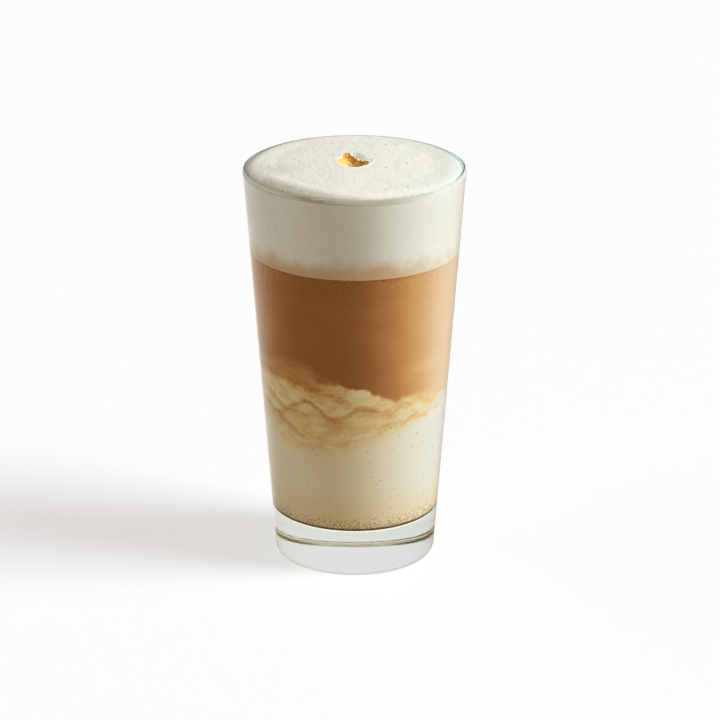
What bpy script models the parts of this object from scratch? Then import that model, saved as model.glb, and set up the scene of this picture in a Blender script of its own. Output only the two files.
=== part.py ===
"""Glass of layered coffee: a tall conical glass tumbler, filled past its rim.

From the bottom up the drink is milk, milk marbled with coffee, coffee, foam stained by the
coffee, and white foam that rises in a low dome above the rim, with one crater in its top.
Lengths are in metres. The origin is the middle of the foot, +Z is up, and the front is -Y.
"""

from math import atan2, cos, exp, hypot, pi, radians, sin, sqrt, tan

import bmesh
import bpy

SEGMENTS = 64
GAP = 0.0003

# The glass: two straight cones, an inner and an outer one, a thick foot and a rounded lip.
GLASS_HEIGHT = 0.150
OUTER_FOOT_RADIUS = 0.02949
OUTER_RIM_RADIUS = 0.04073
INNER_FOOT_RADIUS = 0.02689
INNER_RIM_RADIUS = 0.03893
LIP_RADIUS = 0.0010
LIP_BLEND = 0.0035
LIP_STEPS = 8
FOOT_FILLET = 0.0036
FOOT_STEPS = 5
PUNT_RADIUS = 0.0222
PUNT_DEPTH = 0.0012
PUNT_STEPS = 3
FLOOR_THICKNESS = 0.0175
FLOOR_DISH = 0.0003
FLOOR_CORNER = 0.0030
CORNER_STEPS = 4

# The drink: the mean height of each face between two layers, and how far its waves reach.
MARBLING_FOOT = 0.0530
MARBLING_TILT = 0.0028
MARBLING_BILLOW = 0.0010
COFFEE_FOOT = 0.0760
COFFEE_TILT = 0.0062
COFFEE_SWELL = 0.0020
COFFEE_BILLOW = 0.0010
STAIN_FOOT = 0.1193
STAIN_TOP = 0.1246
STAIN_WAVE = 0.0008
INNER_RINGS = (0.36, 0.72)

# The foam's top: a rolled edge, a low dome, and a crater in the middle.
FOAM_EDGE = 0.1480
FOAM_ROLL = 0.0090
FOAM_ROLL_RISE = 0.0034
FOAM_DOME_RISE = 0.0014
FOAM_UNEVEN = 0.00025
CRATER_X = 0.0002
CRATER_Y = 0.0012
CRATER_HALF_WIDTH = 0.0066
CRATER_HALF_DEPTH = 0.0088
CRATER_DROP = 0.0036
CRATER_LIP = 0.0002
ROLL_STEPS = 6
DOME_SPACING = 0.0045
CRATER_SPACING = 0.0017
CRATER_REACH = 0.0137

GLASS_LOOK = ("glass", (0.90, 0.97, 0.94), 0.02, 1.0)
MILK_LOOK = ("milk", (0.84, 0.76, 0.60), 0.25, 0.0)
MARBLED_LOOK = ("marbled_milk", (0.72, 0.53, 0.30), 0.25, 0.0)
COFFEE_LOOK = ("coffee", (0.33, 0.13, 0.045), 0.20, 0.0)
STAINED_LOOK = ("stained_foam", (0.66, 0.49, 0.32), 0.40, 0.0)
FOAM_LOOK = ("foam", (0.86, 0.84, 0.75), 0.50, 0.0)


def clear_scene():
    for thing in list(bpy.data.objects):
        bpy.data.objects.remove(thing, do_unlink=True)


def make_material(name, colour, roughness, transmission):
    material = bpy.data.materials.new(name)
    material.use_nodes = True
    shader = material.node_tree.nodes["Principled BSDF"]
    shader.inputs["Base Color"].default_value = (*colour, 1.0)
    shader.inputs["Roughness"].default_value = roughness
    shader.inputs["Transmission Weight"].default_value = transmission
    shader.inputs["Metallic"].default_value = 0.0
    return material


def add_node(name, mesh, look):
    mesh.materials.append(make_material(*look))
    node = bpy.data.objects.new(name, mesh)
    bpy.context.scene.collection.objects.link(node)
    mesh.shade_smooth()
    mesh.set_sharp_from_angle(angle=radians(40))
    return node


def outer_radius(height):
    """The glass's outer cone."""
    return OUTER_FOOT_RADIUS + (OUTER_RIM_RADIUS - OUTER_FOOT_RADIUS) * height / GLASS_HEIGHT


def inner_radius(height):
    """The glass's inner cone."""
    return INNER_FOOT_RADIUS + (INNER_RIM_RADIUS - INNER_FOOT_RADIUS) * height / GLASS_HEIGHT


OUTER_SLOPE = atan2(OUTER_RIM_RADIUS - OUTER_FOOT_RADIUS, GLASS_HEIGHT)
INNER_SLOPE = atan2(INNER_RIM_RADIUS - INNER_FOOT_RADIUS, GLASS_HEIGHT)


def floor_height(radius):
    """The glass's inner floor, dished a little towards its middle."""
    return FLOOR_THICKNESS + FLOOR_DISH * (radius / INNER_FOOT_RADIUS) ** 2


def floor_corner(shrink):
    """The rounded corner between floor and wall, from the floor up, this far inside the glass."""
    bend = FLOOR_CORNER - shrink
    middle_height = floor_height(inner_radius(FLOOR_THICKNESS) - FLOOR_CORNER) + FLOOR_CORNER
    middle_radius = inner_radius(middle_height) - FLOOR_CORNER / cos(INNER_SLOPE)
    turn = pi / 2 - INNER_SLOPE
    steps = [turn * step / CORNER_STEPS for step in range(CORNER_STEPS + 1)]
    return [(middle_radius + bend * sin(a), middle_height - bend * cos(a)) for a in steps]


def glass_profile():
    """(radius, height) from the middle of the floor, over the lip and down to the punt."""
    floor = [(0.0, FLOOR_THICKNESS)] + floor_corner(0.0)
    blend_height = GLASS_HEIGHT - LIP_BLEND
    lip_height = GLASS_HEIGHT - LIP_RADIUS
    lip_middle = (outer_radius(lip_height) + inner_radius(lip_height)) / 2
    lip = []
    for step in range(LIP_STEPS + 1):
        angle = pi * (1.06 - 1.12 * step / LIP_STEPS)
        point = (lip_middle + LIP_RADIUS * cos(angle), lip_height + LIP_RADIUS * sin(angle))
        lip.append(point)
    fillet_middle = outer_radius(FOOT_FILLET) - FOOT_FILLET / cos(OUTER_SLOPE)
    foot = []
    for step in range(FOOT_STEPS + 1):
        angle = OUTER_SLOPE + (pi / 2 - OUTER_SLOPE) * step / FOOT_STEPS
        point = (fillet_middle + FOOT_FILLET * cos(angle), FOOT_FILLET - FOOT_FILLET * sin(angle))
        foot.append(point)
    punt = []
    for step in range(PUNT_STEPS + 1):
        share = 1 - step / PUNT_STEPS
        punt.append((PUNT_RADIUS * share, PUNT_DEPTH * (1 - share**2)))
    return (
        floor
        + [(inner_radius(blend_height), blend_height)]
        + lip
        + [(outer_radius(blend_height), blend_height)]
        + foot
        + punt
    )


def make_glass():
    profile = glass_profile()
    mesh = bpy.data.meshes.new("glass")
    edges = [(index, index + 1) for index in range(len(profile) - 1)]
    mesh.from_pydata([(radius, 0.0, height) for radius, height in profile], edges, [])
    glass = add_node("glass", mesh, GLASS_LOOK)
    turn = glass.modifiers.new("turn", "SCREW")
    turn.axis = "Z"
    turn.angle = 2 * pi
    turn.steps = SEGMENTS
    turn.render_steps = SEGMENTS
    turn.use_merge_vertices = True
    turn.merge_threshold = 0.00001
    turn.use_smooth_shade = True
    return glass


def bearing(x, y):
    """The angle round the glass: 0 at the front, a quarter turn at +X."""
    return atan2(x, -y)


def reach(x, y, height):
    """How far out a point is, from 0 on the axis to 1 at the wall."""
    return min(hypot(x, y) / inner_radius(height), 1.0)


def marbling_foot(x, y):
    """Where plain milk ends: lower on the left, where the marbling sinks deepest."""
    angle = bearing(x, y)
    wave = MARBLING_TILT * sin(angle) + MARBLING_BILLOW * sin(4 * angle + 0.5)
    return MARBLING_FOOT + wave * reach(x, y, MARBLING_FOOT) ** 2


def coffee_foot(x, y):
    """The coffee's lower face: high on the left, stepping down to the right in billows."""
    angle = bearing(x, y)
    wave = -COFFEE_TILT * sin(angle) - COFFEE_SWELL * sin(3 * angle)
    wave += COFFEE_BILLOW * sin(9 * angle - 1.1)
    return COFFEE_FOOT + wave * reach(x, y, COFFEE_FOOT) ** 2


def stain_foot(x, y):
    """Coffee and foam part on a level face."""
    return STAIN_FOOT


def stain_top(x, y):
    """How far the coffee has crept up into the foam."""
    angle = bearing(x, y)
    wave = sin(5 * angle + 0.7) + 0.5 * sin(11 * angle + 2.0)
    return STAIN_TOP + STAIN_WAVE * wave * reach(x, y, STAIN_TOP) ** 2


def crater(x, y):
    """The crater's share of the foam's height: a bowl with a slightly raised lip."""
    spread = hypot((x - CRATER_X) / CRATER_HALF_WIDTH, (y - CRATER_Y) / CRATER_HALF_DEPTH)
    bowl = 1 / (1 + (spread / 0.78) ** 5)
    lip = exp(-(((spread - 1.15) / 0.22) ** 2))
    return CRATER_LIP * lip - CRATER_DROP * bowl


def foam_top(x, y):
    """The foam's upper face: an edge that rolls up from the wall, a low dome and the crater."""
    radius = hypot(x, y)
    edge = foam_wall_radius(FOAM_EDGE)
    inwards = max(edge - radius, 0.0)
    roll = min(inwards / FOAM_ROLL, 1.0)
    rise = FOAM_ROLL_RISE * sqrt(1 - (1 - roll) ** 2)
    dome_edge = edge - FOAM_ROLL
    dome = FOAM_DOME_RISE * (1 - min(radius / dome_edge, 1.0) ** 2)
    uneven = FOAM_UNEVEN * sin(x * 230 + 0.4) * sin(y * 190 + x * 60 + 1.0) * roll
    return FOAM_EDGE + rise + dome + uneven + crater(x, y)


def wall_radius(height):
    """The drink's side, a gap inside the glass's inner cone."""
    return inner_radius(height) - GAP / cos(INNER_SLOPE)


def foam_wall_radius(height):
    """The foam's side, which also clears the lip's bulge."""
    bulge = LIP_RADIUS - (outer_radius(height) - inner_radius(height)) / 2
    near_lip = min(max((height - GLASS_HEIGHT + LIP_BLEND) / LIP_BLEND, 0.0), 1.0)
    return wall_radius(height) - (max(bulge, 0.0) + 0.0001) * near_lip


def ring(radius_at, height_at):
    """One ring of points. radius_at takes an angle; height_at takes x and y."""
    points = []
    for segment in range(SEGMENTS):
        angle = 2 * pi * segment / SEGMENTS
        radius = radius_at(angle)
        x, y = radius * sin(angle), -radius * cos(angle)
        points.append((x, y, height_at(x, y)))
    return points


def level_ring(radius, height_at):
    return ring(lambda angle: radius, height_at)


def wall_ring(height_at, wall=wall_radius):
    """The ring where a layer's face meets its side, whose radius grows with its height."""
    mean = inner_radius(STAIN_FOOT)

    def radius_at(angle):
        height = height_at(mean * sin(angle), -mean * cos(angle))
        return wall(height)

    return ring(radius_at, height_at)


def inner_rings(height_at, edge_radius, shares=INNER_RINGS):
    return [level_ring(edge_radius * share, height_at) for share in shares]


def raised(height_at):
    """The same face, one gap higher."""
    return lambda x, y: height_at(x, y) + GAP


def skinned_mesh(name, low_middle, rings, high_middle):
    """A closed body from its lower middle point, out and up through the rings, to its upper one."""
    shape = bmesh.new()
    low = shape.verts.new(low_middle)
    high = shape.verts.new(high_middle)
    rows = [[shape.verts.new(point) for point in points] for points in rings]
    for segment in range(SEGMENTS):
        after = (segment + 1) % SEGMENTS
        shape.faces.new((low, rows[0][after], rows[0][segment]))
        for lower, upper in zip(rows, rows[1:]):
            shape.faces.new((lower[segment], lower[after], upper[after], upper[segment]))
        shape.faces.new((rows[-1][segment], rows[-1][after], high))
    bmesh.ops.triangulate(shape, faces=[face for face in shape.faces if len(face.verts) > 3])
    mesh = bpy.data.meshes.new(name)
    shape.to_mesh(mesh)
    shape.free()
    return mesh


def make_layer(name, low_face, high_face, look):
    """One layer of the drink between two faces, one gap inside the glass."""
    low_edge, high_edge = wall_ring(low_face), wall_ring(high_face)
    below = inner_rings(low_face, wall_radius(low_face(0.0, 0.0)))
    above = inner_rings(high_face, wall_radius(high_face(0.0, 0.0)))
    rings = below + [low_edge, high_edge] + above[::-1]
    middles = (0.0, 0.0, low_face(0.0, 0.0)), (0.0, 0.0, high_face(0.0, 0.0))
    return add_node(name, skinned_mesh(name, middles[0], rings, middles[1]), look)


def make_milk():
    """The lowest layer, which stands on the glass's dished floor and fills its round corner."""
    corner = [level_ring(r, lambda x, y, z=z: z) for r, z in floor_corner(GAP)]
    above = inner_rings(marbling_foot, wall_radius(MARBLING_FOOT))
    rings = corner + [wall_ring(marbling_foot)] + above[::-1]
    low_middle = (0.0, 0.0, FLOOR_THICKNESS + GAP)
    high_middle = (0.0, 0.0, marbling_foot(0.0, 0.0))
    return add_node("milk", skinned_mesh("milk", low_middle, rings, high_middle), MILK_LOOK)


def foam_ring_radii():
    """Radii of the rings over the foam's top: close at the rolled edge and round the crater."""
    edge = foam_wall_radius(FOAM_EDGE)
    turns = [radians(90) * step / ROLL_STEPS for step in range(1, ROLL_STEPS + 1)]
    radii = [edge - FOAM_ROLL * (1 - cos(turn)) for turn in turns]
    while radii[-1] - DOME_SPACING > CRATER_REACH:
        radii.append(radii[-1] - DOME_SPACING)
    steps = int(CRATER_REACH / CRATER_SPACING)
    radii += [CRATER_REACH * step / steps for step in range(steps, 0, -1)]
    return radii


def make_foam():
    low_face = raised(stain_top)
    below = inner_rings(low_face, wall_radius(STAIN_TOP))
    top = [level_ring(radius, foam_top) for radius in foam_ring_radii()]
    edge = level_ring(foam_wall_radius(FOAM_EDGE), lambda x, y: FOAM_EDGE)
    shoulder_height = GLASS_HEIGHT - LIP_BLEND
    shoulder = level_ring(wall_radius(shoulder_height), lambda x, y: shoulder_height)
    rings = below + [wall_ring(low_face), shoulder, edge] + top
    middles = (0.0, 0.0, low_face(0.0, 0.0)), (0.0, 0.0, foam_top(0.0, 0.0))
    return add_node("foam", skinned_mesh("foam", middles[0], rings, middles[1]), FOAM_LOOK)


clear_scene()
make_glass()
make_milk()
make_layer("marbled_milk", raised(marbling_foot), coffee_foot, MARBLED_LOOK)
make_layer("coffee", raised(coffee_foot), stain_foot, COFFEE_LOOK)
make_layer("stained_foam", raised(stain_foot), stain_top, STAINED_LOOK)
make_foam()
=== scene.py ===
"""Looks of the glass of layered coffee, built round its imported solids. Lengths are in metres."""

from math import cos, pi, radians, sin

import bpy
import numpy as np
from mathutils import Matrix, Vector, noise


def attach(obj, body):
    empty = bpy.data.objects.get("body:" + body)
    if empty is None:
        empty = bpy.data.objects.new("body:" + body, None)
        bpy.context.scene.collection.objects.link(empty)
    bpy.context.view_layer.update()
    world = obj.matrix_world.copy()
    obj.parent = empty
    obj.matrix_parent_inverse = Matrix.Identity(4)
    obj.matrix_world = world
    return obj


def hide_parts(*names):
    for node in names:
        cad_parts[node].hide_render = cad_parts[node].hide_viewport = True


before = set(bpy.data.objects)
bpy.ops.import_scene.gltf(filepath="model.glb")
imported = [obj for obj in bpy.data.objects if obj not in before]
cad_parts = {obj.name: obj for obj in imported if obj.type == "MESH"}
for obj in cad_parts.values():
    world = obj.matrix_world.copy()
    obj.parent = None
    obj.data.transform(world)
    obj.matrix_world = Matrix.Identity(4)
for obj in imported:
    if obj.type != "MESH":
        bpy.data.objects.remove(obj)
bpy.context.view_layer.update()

MM = 0.001

# Camera, fitted to the photograph: the glass's axis stands a little left of the picture's middle.
CAMERA_PLACE = (0.00196, -1.2744, 0.5508)
CAMERA_PITCH = radians(20.467)
CAMERA_LENS = 183.49

# The glass, as in the solids.
GLASS_HEIGHT = 0.150
OUTER_FOOT_RADIUS = 0.02949
OUTER_RIM_RADIUS = 0.04073
INNER_FOOT_RADIUS = 0.02689
INNER_RIM_RADIUS = 0.03893
LIP_RADIUS = 0.0010
LIP_BLEND = 0.0035
FOOT_FILLET = 0.0036
PUNT_RADIUS = 0.0222
PUNT_DEPTH = 0.0012
FLOOR_THICKNESS = 0.0175
FLOOR_DISH = 0.0003
FLOOR_CORNER = 0.0030

# The hollow under the glass: how high its edge and its middle are, and how wide its edge is.
PUNT_EDGE_HEIGHT = PUNT_DEPTH * 0.40
PUNT_MIDDLE_HEIGHT = PUNT_DEPTH * 0.46
PUNT_EDGE_OUT = 0.0004
PUNT_EDGE_IN = 0.0003
PUNT_RING = 0.0012

# How many steps each stretch of the glass's outline has.
GLASS_SEGMENTS = 320
FLOOR_STEPS = 9
CORNER_STEPS = 14
WALL_STEPS = 23
BLEND_STEPS = 8
LIP_STEPS = 28
FOOT_STEPS = 16
PUNT_STEPS = 8

# The drink reaches this far into the glass, so that no film of air shows between them.
INTO_GLASS = 0.00012

# The faces between the layers, as in the solids.
MARBLING_FOOT = 0.0530
MARBLING_TILT = 0.0028
MARBLING_BILLOW = 0.0010
COFFEE_FOOT = 0.0760
COFFEE_TILT = 0.0062
COFFEE_SWELL = 0.0020
COFFEE_BILLOW = 0.0010
STAIN_FOOT = 0.1193
STAIN_TOP = 0.1246
STAIN_WAVE = 0.0008
LAYER_SEGMENTS = 256
LAYER_CORNER_STEPS = 10
FACE_SHARES = (0.3, 0.6, 0.85, 0.96)

# The foam's top.
FOAM_EDGE = 0.1494
FOAM_EDGE_DIP = 0.0015
FOAM_DIP_BEARING = radians(18)
FOAM_DIP_WIDTH = radians(55)
FOAM_ROLL = 0.0100
FOAM_ROLL_RISE = 0.0020
FOAM_DOME_RISE = 0.0014
FOAM_LEVEL = FOAM_EDGE + FOAM_ROLL_RISE + FOAM_DOME_RISE
FOAM_GRID = 272
FOAM_ROLL_SHARE = 0.26
FOAM_SIDE_SHARES = (0.04, 0.12, 0.3, 0.6, 0.85, 1.0)

# The crater in it, and the froth on the crater's floor.
CRATER_X = -0.0001
CRATER_Y = 0.0009
CRATER_HALF_WIDTH = 0.0066
CRATER_HALF_DEPTH = 0.0092
CRATER_DROP = 0.0042
CRATER_RUN = 0.0120
CRATER_LIP = 0.00018
FROTH_RISE = 0.00040
FROTH_BUMPS = 0.00042

# The crater falls towards the front from this line: (x, y) in millimetres.
CRATER_BACK = [
    (-9.0, -1.0), (-7.0, 0.2), (-6.2, 0.9), (-5.1, 1.8), (-4.3, 4.0), (-3.8, 8.4), (-2.6, 10.0),
    (-1.0, 9.4), (1.0, 7.2), (3.0, 5.2), (5.0, 3.8), (6.6, 2.4), (9.0, 0.0),
]

# The golden froth in the crater ends towards the back along this line: (x, y) in millimetres,
# y as on level foam. For each millimetre that the foam lies lower, the line is FROTH_SLANT
# millimetres further back.
FROTH_LINE = [
    (-7.0, -0.6), (-6.6, 0.2), (-5.1, 0.9), (-4.3, 2.6), (-4.1, 6.6), (-3.2, 8.6), (-1.9, 8.2),
    (-1.3, 5.6), (-0.9, 4.4), (-0.2, 4.2), (0.2, 2.0), (0.9, 1.4), (1.5, -1.6), (2.2, -1.0),
    (2.9, -1.2), (3.4, -2.6), (4.3, -1.2), (5.0, -2.0), (5.6, -5.0), (7.0, -8.0),
]
FROTH_SLANT = 3.18
FROTH_LOW = -10.0
FROTH_SPAN = 20.0

# The colours are worked out in millimetres, from these heights and the radius of the lip's middle.
FLOOR = FLOOR_THICKNESS / MM
COFFEE_TOP = STAIN_FOOT / MM
RIM = GLASS_HEIGHT / MM
LIP_MIDDLE = 39.75

# Colours of the drink, as linear light, first from plain milk to plain coffee.
BREW = [
    (0.00, (0.825, 0.72, 0.505)),
    (0.12, (0.82, 0.65, 0.350)),
    (0.25, (0.75, 0.515, 0.210)),
    (0.40, (0.70, 0.42, 0.185)),
    (0.60, (0.60, 0.295, 0.095)),
    (0.80, (0.46, 0.195, 0.060)),
    (1.00, (0.330, 0.128, 0.038)),
]
LIT_SIDE_COFFEE = (0.82, 0.68, 0.52)
LIT_MILK = (0.72, 0.735, 0.65)
WARM_BOUNCE_LIGHT = (0.80, 0.59, 0.30)
DARK_BUBBLE = (0.08, 0.035, 0.015)
LIGHT_BUBBLE = (0.80, 0.50, 0.22)
GRIT = (0.11, 0.06, 0.022)
FOOT_LINE = (0.045, 0.018, 0.004)
FOOT_HIGHLIGHT = (0.86, 0.88, 0.84)
FOOT_GLOW = (0.60, 0.58, 0.53)
UNDERSIDE_GLOW = (0.13, 0.16, 0.145)
NO_GLOW = (0.0, 0.0, 0.0)

# Colours of the foam's side.
FOAM_SIDE = (0.80, 0.78, 0.69)
FOAM_SHADE = (0.77, 0.74, 0.64)
FOAM_FRONT_SHADE = (0.42, 0.36, 0.28)
STAIN = (0.60, 0.405, 0.235)
STAIN_RIGHT = (0.70, 0.54, 0.33)
CREAM_LINE = (0.84, 0.70, 0.44)
PINHOLE = (0.42, 0.33, 0.20)
GROOVE_SHADE = (0.40, 0.335, 0.235)

# Colours of the foam's top and of the froth.
FOAM_TOP = (0.83, 0.825, 0.66)
FOAM_TOP_ROSY = (0.86, 0.805, 0.655)
FOAM_GRAIN = (0.70, 0.60, 0.44)
FOAM_LEFT_SHADE = (0.62, 0.53, 0.40)
LIT_EDGE = (0.66, 0.67, 0.58)
SPECK = (0.52, 0.27, 0.07)
GROOVE_BUBBLE = (0.22, 0.16, 0.09)
CRATER_RIM_HIGHLIGHT = (0.95, 0.96, 0.92)
CRATER_PAINTED_LIGHT = (0.98, 0.90, 0.80)
GOLD_LIGHT = (0.88, 0.60, 0.19)
GOLD = (0.66, 0.30, 0.045)
GOLD_DARK = (0.40, 0.15, 0.010)

# Colours of the glass: of its body, its lip, its reflections, light that goes straight through
# and light that is lost in its depth.
CLEAR = (1.0, 1.0, 1.0)
LIP_GREEN = (0.36, 0.72, 0.62)
LIP_SHADE_GREY = (0.60, 0.56, 0.47)
GLASS_MIRROR = (0.35, 0.33, 0.30)
GLASS_STRAIGHT = (0.955, 0.97, 0.96)
GLASS_DEPTH = (0.80, 0.92, 0.84)
GLASS_DENSITY = 4.0

# The floor, as the camera and each other kind of ray sees it.
FLOOR_COLOUR = (0.385, 0.37, 0.345)
FLOOR_GLOW = 0.60
FLOOR_BOUNCE = (0.61, 0.50, 0.32)
FLOOR_MIRRORED = (0.48, 0.36, 0.25)
BACK_LEFT_MIRRORED = (0.93, 0.89, 0.82)
UNDER_GLASS = (0.74, 0.75, 0.73)
FLOOR_HALF = 12.0
FLOOR_GAP = 0.00015

# Lamps: name, azimuth from the front round to +X, elevation and spread in degrees, level, colour.
LAMPS = [
    ("key", 79, 38, 28, 1.40, (0.77, 0.86, 1.0)),
    ("overhead", 20, 78, 80, 0.11, (1.0, 0.5, 0.10)),
    ("left_fill", -95, 28, 60, 0.27, (0.65, 0.77, 1.0)),
]

# The world's light, and how bright the world is to these kinds of ray.
WORLD_LIGHT = (0.13, 0.12, 0.11)
WORLD_SEEN = [("Is Glossy Ray", 0.6), ("Is Transmission Ray", 0.775), ("Is Camera Ray", 0.95)]

# Heights in the marbling are drawn between these, in millimetres.
MARBLING_LOW = 40.0
MARBLING_SPAN = 60.0

# (degrees round from the front, height): where coffee gives way to marbling
FRONT = [
    (-180, 77), (-150, 75.5), (-122, 79), (-98, 82), (-80, 79.6), (-66, 79.2), (-57, 80.8),
    (-46, 82.2), (-37, 82.8), (-31, 82.2), (-26.5, 80.6), (-22.5, 78.3), (-18, 77.8), (-12.6, 78.4),
    (-4.6, 76.6), (0, 76), (4.6, 76), (10, 75.2), (17, 72.6), (23, 71.6), (27.6, 70.0),
    (32, 71.2), (37, 71.7), (50, 71.3), (75, 71.3), (100, 74.0), (125, 72), (150, 76), (180, 77),
]

# (degrees round from the front, height): where the marbling ends in plain milk
SETTLED = [
    (-180, 56), (-130, 56), (-100, 57), (-80, 56.5), (-70, 55.4), (-63, 54), (-57, 52.4),
    (-50, 50.8), (-44, 49.8), (-32, 48.6), (-21, 48.2), (-14, 49.2), (-7, 50.6), (0, 52.0),
    (6, 53.4), (18, 55.0), (32, 57.2), (49, 59.8), (75, 61.3), (110, 59), (150, 57), (180, 56),
]

# (degrees round from the front, height): a line that the fine wisps run along
FLOW = [
    (-180, 68), (-120, 72), (-90, 74), (-70, 71.5), (-55, 67.5), (-40, 64), (-25, 62.5),
    (-10, 63), (5, 64.5), (20, 66.5), (35, 69), (50, 71), (70, 72), (110, 72), (150, 69), (180, 68),
]

# (degrees round from the front, share): where the marbling starts in a tan haze, as at the left
LEFT_KIND = [
    (-180, 0.8), (-90, 0.9), (-34, 1.0), (-26, 0.9), (-20, 0.62), (-13, 0.40), (-6, 0.18),
    (0, 0.0), (90, 0.0), (140, 0.6), (180, 0.8),
]

# (degrees round from the front, share): how ruffled the coffee's lower edge is
RUFFLED = [
    (-180, 1.0), (-60, 1.0), (-20, 0.9), (-8, 1.0), (9, 1.0), (15, 0.45), (24, 0.25),
    (60, 0.25), (90, 0.5), (180, 1.0),
]

# Each vein of coffee in the milk: its heights, its strength round the glass, and how far its
# haze hangs down. The uppermost comes first.
VEINS = [
    (
        [(-180, 72), (-140, 70.5), (-110, 75), (-80, 76), (-58, 76.6), (-43, 76.3), (-40, 75.5),
         (-36, 76.2), (-32, 75.3), (-28, 74.5), (-24, 73.8), (-19, 74.4), (-15.4, 74.5),
         (-11.4, 72.9), (-7, 72.2), (10, 70), (60, 68), (120, 69), (180, 72)],
        [(-180, 0.5), (-120, 0.75), (-60, 0.6), (-40, 0.8), (-15, 1.0), (-7, 0.9), (-2, 0.4),
         (2, 0.0), (60, 0.0), (110, 0.2), (180, 0.5)],
        2.0,
    ),
    (
        [(-180, 66), (-150, 68), (-120, 65), (-90, 68), (-72, 70), (-60, 68.9), (-57, 67.9),
         (-51.4, 66.3), (-45.7, 66.3), (-41, 68.3), (-35.4, 69.9), (-30.9, 70.5), (-26.3, 69.6),
         (-24, 68.6), (-20.6, 67.3), (-18.3, 65.3), (-14.9, 64.3), (-10.3, 64.3), (-6.9, 65.6),
         (-2.3, 67.3), (0, 68.6), (5.7, 68.9), (11.4, 68.5), (16, 67.3), (20.6, 66.9),
         (26.3, 67.6), (28.6, 69.0), (33, 69.9), (36.6, 69.3), (40, 66.6), (44, 65),
         (60, 66), (90, 68), (130, 65), (180, 66)],
        [(-180, 0.7), (-110, 0.6), (-75, 0.3), (-58, 0.75), (-45, 0.85), (-20, 1.0), (0, 0.95),
         (14, 0.85), (25, 0.5), (30, 0.45), (40, 0.25), (46, 0.05), (80, 0.1), (130, 0.5),
         (180, 0.7)],
        2.4,
    ),
    (
        [(-180, 61), (-130, 62), (-100, 66), (-80, 65.2), (-68.6, 64.3), (-62.9, 63.1),
         (-53.7, 62.9), (-49, 64.3), (-45.7, 65.6), (-41, 64.9), (-36.6, 64.5), (-30.9, 65.3),
         (-22.9, 66.4), (-15, 62), (-9, 62.4), (0, 64), (10, 65.5), (30, 64), (60, 62),
         (100, 64), (140, 60), (180, 61)],
        [(-180, 0.4), (-120, 0.5), (-85, 0.5), (-62, 0.75), (-45, 0.7), (-32, 0.5), (-22, 0.2),
         (-16, 0.35), (-8, 0.3), (0, 0.05), (60, 0.0), (110, 0.3), (180, 0.4)],
        1.8,
    ),
    (
        [(-180, 57), (-120, 59), (-90, 60), (-59.4, 61.9), (-53.7, 60.9), (-48, 59.6),
         (-42.3, 58.2), (-36.6, 56.6), (-32, 55.6), (-25, 56.4), (-15, 60.5), (-9, 62.0),
         (10, 60), (60, 57), (110, 60), (180, 57)],
        [(-180, 0.3), (-110, 0.4), (-80, 0.15), (-58, 0.35), (-44, 0.65), (-34, 0.5),
         (-28, 0.15), (-18, 0.2), (-9, 0.1), (0, 0.0), (90, 0.1), (180, 0.3)],
        2.2,
    ),
    (
        [(-180, 69), (-90, 66), (0, 62), (20, 62), (29.7, 62.6), (34.3, 62.1), (40, 63.3),
         (45.7, 63.6), (52.6, 62.6), (57, 62.6), (64, 63.6), (72, 63.6), (110, 67), (180, 69)],
        [(-180, 0.3), (-100, 0.0), (0, 0.0), (14, 0.12), (30, 0.35), (45, 0.3), (75, 0.3),
         (120, 0.6), (180, 0.3)],
        1.6,
    ),
    (
        [(-180, 68), (0, 68), (40, 69.8), (45.7, 69.9), (51.4, 67.9), (56, 66.9), (60.6, 68.6),
         (65, 70.3), (80, 70), (180, 68)],
        [(-180, 0.0), (36, 0.0), (45, 0.22), (56, 0.3), (66, 0.2), (80, 0.1), (180, 0.0)],
        1.2,
    ),
]


def outer_radius(height):
    return OUTER_FOOT_RADIUS + (OUTER_RIM_RADIUS - OUTER_FOOT_RADIUS) * height / GLASS_HEIGHT


def inner_radius(height):
    return INNER_FOOT_RADIUS + (INNER_RIM_RADIUS - INNER_FOOT_RADIUS) * height / GLASS_HEIGHT


OUTER_SLOPE = np.arctan2(OUTER_RIM_RADIUS - OUTER_FOOT_RADIUS, GLASS_HEIGHT)
INNER_SLOPE = np.arctan2(INNER_RIM_RADIUS - INNER_FOOT_RADIUS, GLASS_HEIGHT)
LIP_HEIGHT = GLASS_HEIGHT - LIP_RADIUS


def smoothstep(value, low, high):
    share = np.clip((value - low) / (high - low), 0, 1)
    return share * share * (3 - 2 * share)


# Meshes

def even_turn(count):
    """Angles all the way round, from the front towards +X."""
    return 2 * pi * np.arange(count) / count


GLASS_ANGLES = even_turn(GLASS_SEGMENTS)
LAYER_ANGLES = even_turn(LAYER_SEGMENTS)


def ring(angles, radius, height):
    """A ring of points, a point for each angle. radius and height may be arrays of that length."""
    radius = np.broadcast_to(radius, len(angles))
    height = np.broadcast_to(height, len(angles))
    return np.stack([radius * np.sin(angles), -radius * np.cos(angles), height], axis=1)


def closed_rows(rows, low_middle, high_middle):
    """Points and faces of a body skinned over rings of equal length, its ends closed by fans."""
    count = len(rows[0])
    points = [tuple(point) for row in rows for point in row]
    faces = []
    for start in range(0, (len(rows) - 1) * count, count):
        for i in range(count):
            j = (i + 1) % count
            faces.append((start + i, start + j, start + count + j, start + count + i))
    low, high = len(points), len(points) + 1
    last = (len(rows) - 1) * count
    faces += [(low, (i + 1) % count, i) for i in range(count)]
    faces += [(high, last + i, last + (i + 1) % count) for i in range(count)]
    return points + [low_middle, high_middle], faces


def add_piece(name, points, faces, material, node):
    """A mesh object that rides with the glass and stands for this node of the model."""
    mesh = bpy.data.meshes.new(name)
    mesh.from_pydata(points, [], faces)
    mesh.materials.append(material)
    mesh.shade_smooth()
    mesh.set_sharp_from_angle(angle=radians(50))
    piece = bpy.data.objects.new(name, mesh)
    bpy.context.scene.collection.objects.link(piece)
    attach(piece, "root")
    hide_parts(node)


# Node graphs

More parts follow.
